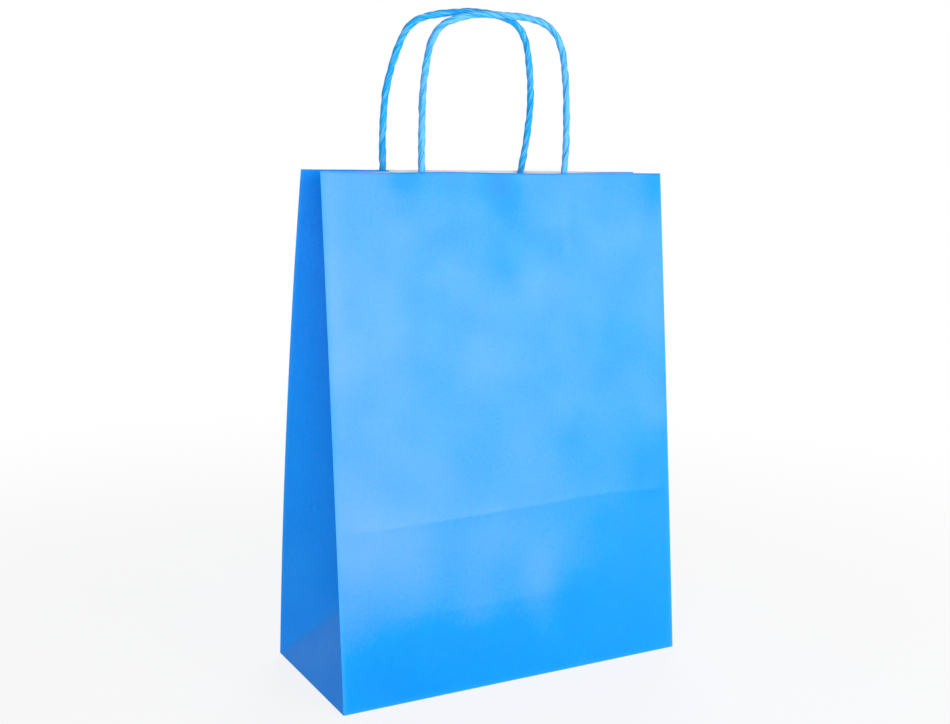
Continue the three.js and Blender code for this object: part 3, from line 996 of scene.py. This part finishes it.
# A paper strip on the inside of a panel; the cover climbs over the two cord ends
def makeStrip(name, side, shape, overLegs):
    plane = panelPlane(side)
    left, right = shape[0][0], shape[-1][0]
    low, high = left - strip["margin"], right + strip["margin"]
    across, overLeg, along = strip["steps"]
    ramp = strip["ramp"]
    xs = list(np.linspace(low, high, across))
    for leg in (left, right):
        xs = [x for x in xs if abs(x - leg) > ramp + strip["rampMargin"]]
        xs += list(np.linspace(leg - ramp, leg + ramp, overLeg))
    xs = sorted(xs)
    downs = np.linspace(strip["drop"], strip["drop"] + strip["height"], along)

    def climb(distance):
        share = min(abs(distance) / ramp, 1)
        return coverRise * (1 + math.cos(math.pi * share)) / 2

    outer = np.zeros((len(downs), len(xs), 3))
    inner = np.zeros_like(outer)
    for i, down in enumerate(downs):
        for j, x in enumerate(xs):
            inward = strip["seat"]
            if overLegs:
                inward = coverIn + climb(x - left) + climb(x - right)
                pucker = cloud(x, down, 0.5 * side, strip["puckerScale"]) * strip["pucker"]
                inward += pucker * math.sin(math.pi * (down - strip["drop"]) / strip["height"])
            hang = Vector((0, 0, rimDrop(x, length - down, side)))
            outer[i, j] = onPanel(plane, x, down, inward) - hang
            inner[i, j] = onPanel(plane, x, down, inward + paper) - hang
    if side < 0:
        outer, inner = outer[:, ::-1], inner[:, ::-1]
    piece = sheetMesh(name, outer, inner, False, (whitePaper, whitePaper))
    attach(piece, "root")
    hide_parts(name.replace("strip", "patch"))


for label, side, shape in (("front", -1, cord["frontShape"]), ("back", 1, cord["backShape"])):
    makeStrip(label + "_strip_backing", side, shape, False)
    makeStrip(label + "_strip_cover", side, shape, True)
print("strips glued in")

studio = {
    "floor": (0.86, 0.86, 0.86, 1),
    "floorRoughness": 0.9,
    "floorSize": 12.0,
    "nearVeil": 0.84,
    "veilReach": (0.25, 0.80),  # the ground turns plain white over this distance
    "ambient": 0.30,
    "keyPlace": (0.50, -1.10, 0.31),
    "keySize": (0.66, 0.50),
    "keyPower": 8.6,
    "fillPlace": (-0.88, -1.52, 0.50),
    "fillSize": (1.5, 0.9),
    "fillPower": 15.5,
    "rearPlace": (0.95, 1.40, 0.60),
    "rearSize": (1.0, 1.0),
    "rearPower": 22.0,
    "aim": (0, 0, 0.17),
}


# Is the ground or the background seen by the camera, or in a mirror or glass?
def seenDirectly(nodes):
    path = nodes.add("ShaderNodeLightPath").outputs
    both = nodes.maths("MAXIMUM", path["Is Camera Ray"], path["Is Glossy Ray"])
    return nodes.maths("MAXIMUM", both, path["Is Transmission Ray"])


def makeFloor():
    half = studio["floorSize"] / 2
    mesh = bpy.data.meshes.new("floor")
    corners = [(-half, -half, 0), (half, -half, 0), (half, half, 0), (-half, half, 0)]
    mesh.from_pydata(corners, [], [(0, 1, 2, 3)])
    material, nodes, shader = startMaterial("floor", studio["floorRoughness"])
    shader.inputs["Base Color"].default_value = studio["floor"]
    shader.inputs["Specular IOR Level"].default_value = 0.0
    glow = nodes.add("ShaderNodeEmission", Strength=1.0)
    place = nodes.add("ShaderNodeTexCoord").outputs["Object"]
    away = nodes.add("ShaderNodeVectorMath", {"operation": "LENGTH"}, i0=place)
    whiteness = (studio["nearVeil"], 1.0)
    veil = nodes.remap(away.outputs["Value"], studio["veilReach"], whiteness, "SMOOTHSTEP")
    share = nodes.maths("MULTIPLY", seenDirectly(nodes), veil)
    mixed = nodes.add("ShaderNodeMixShader", i0=share, i1=shader.outputs[0], i2=glow)
    nodes.put(material.node_tree.nodes["Material Output"], "Surface", mixed)
    mesh.materials.append(material)
    floor = bpy.data.objects.new("floor", mesh)
    stage.collection.objects.link(floor)


def makeWorld():
    world = bpy.data.worlds.new("studio")
    world.use_nodes = True
    stage.world = world
    nodes = Nodes(world.node_tree)
    shown = world.node_tree.nodes["Background"]
    shown.inputs["Color"].default_value = (1, 1, 1, 1)
    level = nodes.remap(seenDirectly(nodes), (0.0, 1.0), (studio["ambient"], 1.0))
    nodes.put(shown, "Strength", level)


def areaLight(name, place, size, power):
    lamp = bpy.data.lights.new(name, "AREA")
    lamp.shape = "RECTANGLE"
    lamp.size, lamp.size_y = size
    lamp.energy = power
    holder = bpy.data.objects.new(name, lamp)
    aim = Vector(studio["aim"]) - Vector(place)
    turned = aim.to_track_quat("-Z", "Y").to_matrix().to_4x4()
    holder.matrix_world = Matrix.Translation(place) @ turned
    stage.collection.objects.link(holder)


makeFloor()
makeWorld()
areaLight("key", studio["keyPlace"], studio["keySize"], studio["keyPower"])
areaLight("fill", studio["fillPlace"], studio["fillSize"], studio["fillPower"])
areaLight("rear", studio["rearPlace"], studio["rearSize"], studio["rearPower"])
print("studio lit")
